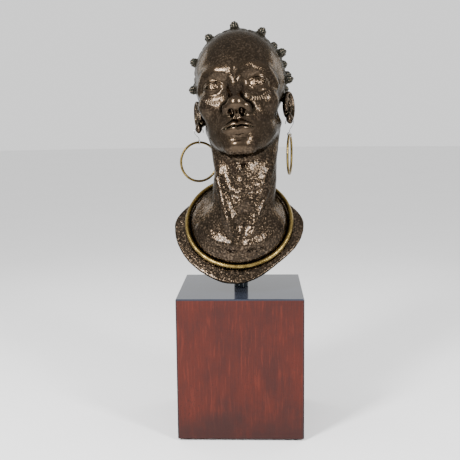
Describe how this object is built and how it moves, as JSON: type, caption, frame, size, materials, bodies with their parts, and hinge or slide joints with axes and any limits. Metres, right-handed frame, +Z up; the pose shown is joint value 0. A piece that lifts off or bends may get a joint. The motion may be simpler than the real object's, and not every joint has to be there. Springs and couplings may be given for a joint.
{
  "type": "decorative bust",
  "caption": "Bronze bust of a woman with a long neck, knotted hair, hoop earrings and a neck ring, raised on a post above a square painted block.",
  "frame": {"origin": "on the table, under the middle of the block", "axes": "+Z up; -Y is the front, the way the face looks; +X is the bust's own left"},
  "size_m": [0.2012, 0.2195, 0.6289],
  "materials": {
    "bronze": "dark brown patinated bronze, pitted, rubbed bright on the high places",
    "brass": "satin, hand rubbed, darker in the hollows",
    "ear_wire_steel": "bright drawn wire",
    "post_metal": "semi-gloss black",
    "block_paint": "rust-red worn lacquer on the sides, high-gloss black lacquer on the top face",
    "foot_pad": "matte black"
  },
  "bodies": {
    "root": {"bust": "bronze", "neck_ring": "brass", "ear_wire_left": "ear_wire_steel", "ear_wire_right": "ear_wire_steel", "hoop_left": "brass", "hoop_right": "brass", "post": "post_metal", "block": "block_paint", "foot_front_left": "foot_pad", "foot_front_right": "foot_pad", "foot_back_left": "foot_pad", "foot_back_right": "foot_pad"}
  },
  "joints": []
}
